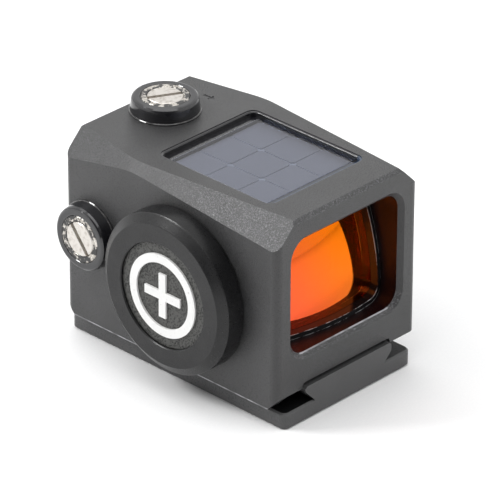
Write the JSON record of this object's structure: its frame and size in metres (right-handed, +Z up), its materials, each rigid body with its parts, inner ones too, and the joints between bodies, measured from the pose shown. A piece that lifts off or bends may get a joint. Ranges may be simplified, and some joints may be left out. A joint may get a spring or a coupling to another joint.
{
  "type": "red dot finder",
  "caption": "Compact enclosed red dot finder: faceted metal housing with a coated front lens, roof solar panel, slotted adjusters, round battery cap and dovetail base.",
  "frame": {"origin": "centre of the base plate's underside", "axes": "+Z up out of the base, -Y towards the target (the lens end), +Y towards the eye, -X towards the battery cap"},
  "size_m": [0.0379, 0.048, 0.039],
  "materials": {
    "housing_aluminium": "matte bead-blasted charcoal anodise",
    "base_aluminium": "matte charcoal anodise",
    "cap_aluminium": "satin black anodise, turned",
    "emblem_white": "matte white inlay",
    "turret_black": "glossy black anodise",
    "screw_steel": "turned, bare",
    "ring_steel": "black finish worn through to bare metal",
    "black_steel": "black oxide",
    "objective_glass": "polished, orange-red reflective coating",
    "clear_glass": "polished",
    "cell_black": "glossy black",
    "solar_rim": "glossy black sealant",
    "solar_glass": "polished",
    "solar_cell": "dark blue grey silicon",
    "seal_rubber": "matte",
    "button_rubber": "matte",
    "board_laminate": "green solder mask",
    "component_black": "moulded",
    "emitter_red": "clear red",
    "frame_aluminium": "machined",
    "contact_steel": "plated spring steel",
    "battery_steel": "nickel plated"
  },
  "bodies": {
    "housing": {"housing": "housing_aluminium", "base_plate": "base_aluminium", "objective_front_element": "objective_glass", "objective_rear_element": "objective_glass", "objective_cell": "cell_black", "objective_seal": "seal_rubber", "rear_frame": "cell_black", "rear_window": "clear_glass", "rear_seal": "seal_rubber", "solar_gasket": "solar_rim", "solar_board": "board_laminate", "solar_cells": "solar_cell", "solar_glass": "solar_glass", "elevation_turret": "turret_black", "windage_turret": "turret_black", "index_rings": "ring_steel", "adjuster_seals": "seal_rubber", "elevation_spring": "contact_steel", "windage_spring": "contact_steel", "bottom_cover": "base_aluminium", "cover_screws": "black_steel", "circuit_board": "board_laminate", "board_components": "component_black", "battery_cell": "battery_steel", "negative_contact": "contact_steel", "battery_seal": "seal_rubber", "switches": "component_black"},
    "elevation_screw": {"elevation_screw": "screw_steel"},
    "elevation_frame": {"elevation_frame": "frame_aluminium"},
    "windage_screw": {"windage_screw": "screw_steel"},
    "windage_plunger": {"windage_plunger": "frame_aluminium"},
    "windage_frame": {"windage_frame": "frame_aluminium", "emitter_board": "board_laminate", "emitter": "emitter_red"},
    "cap_slider": {"cap_seal": "seal_rubber"},
    "battery_cap": {"battery_cap": "cap_aluminium", "cap_contact": "contact_steel", "cap_emblem": "emblem_white"},
    "clamp_bar": {"clamp_bar": "base_aluminium"},
    "clamp_screw": {"clamp_screw": "black_steel"},
    "button_up": {"button_up": "button_rubber"},
    "button_down": {"button_down": "button_rubber"}
  },
  "joints": [
    {"name": "elevation_turn", "type": "hinge", "parent": "housing", "child": "elevation_screw", "pos_m": [0.0007, 0.0175, 0.039], "axis": [0, 0, 1], "range_deg": [-288, 288]},
    {"name": "elevation_lift", "type": "slide", "parent": "housing", "child": "elevation_frame", "axis": [0, 0, 1], "range_m": [-0.0004, 0.0004]},
    {"name": "windage_turn", "type": "hinge", "parent": "housing", "child": "windage_screw", "pos_m": [-0.01895, 0.0175, 0.0202], "axis": [-1, 0, 0], "range_deg": [-288, 288]},
    {"name": "windage_push", "type": "slide", "parent": "housing", "child": "windage_plunger", "axis": [-1, 0, 0], "range_m": [-0.0004, 0.0004]},
    {"name": "windage_shift", "type": "slide", "parent": "elevation_frame", "child": "windage_frame", "axis": [-1, 0, 0], "range_m": [-0.0004, 0.0004]},
    {"name": "cap_travel", "type": "slide", "parent": "housing", "child": "cap_slider", "axis": [-1, 0, 0], "range_m": [0, 0.0035]},
    {"name": "cap_turn", "type": "hinge", "parent": "cap_slider", "child": "battery_cap", "pos_m": [-0.02085, -0.0029, 0.01855], "axis": [-1, 0, 0], "range_deg": [0, 1255]},
    {"name": "clamp_travel", "type": "slide", "parent": "housing", "child": "clamp_bar", "axis": [1, 0, 0], "range_m": [0, 0.0012]},
    {"name": "clamp_turn", "type": "hinge", "parent": "clamp_bar", "child": "clamp_screw", "pos_m": [0.0157, 0, 0.00435], "axis": [1, 0, 0], "range_deg": [0, 1080]},
    {"name": "button_up_press", "type": "slide", "parent": "housing", "child": "button_up", "axis": [-1, 0, 0], "range_m": [0, 0.0005], "stiffness_N_per_m": 300, "springref_m": -0.001},
    {"name": "button_down_press", "type": "slide", "parent": "housing", "child": "button_down", "axis": [-1, 0, 0], "range_m": [0, 0.0005], "stiffness_N_per_m": 300, "springref_m": -0.001}
  ],
  "couplings": [
    {"joint": "elevation_turn", "follows": "elevation_lift", "rad_per_m": 12566},
    {"joint": "windage_turn", "follows": "windage_push", "rad_per_m": 12566},
    {"joint": "windage_shift", "follows": "windage_push", "ratio": 1},
    {"joint": "cap_travel", "follows": "cap_turn", "m_per_rad": 0.00015915},
    {"joint": "clamp_turn", "follows": "clamp_travel", "rad_per_m": 15708}
  ]
}
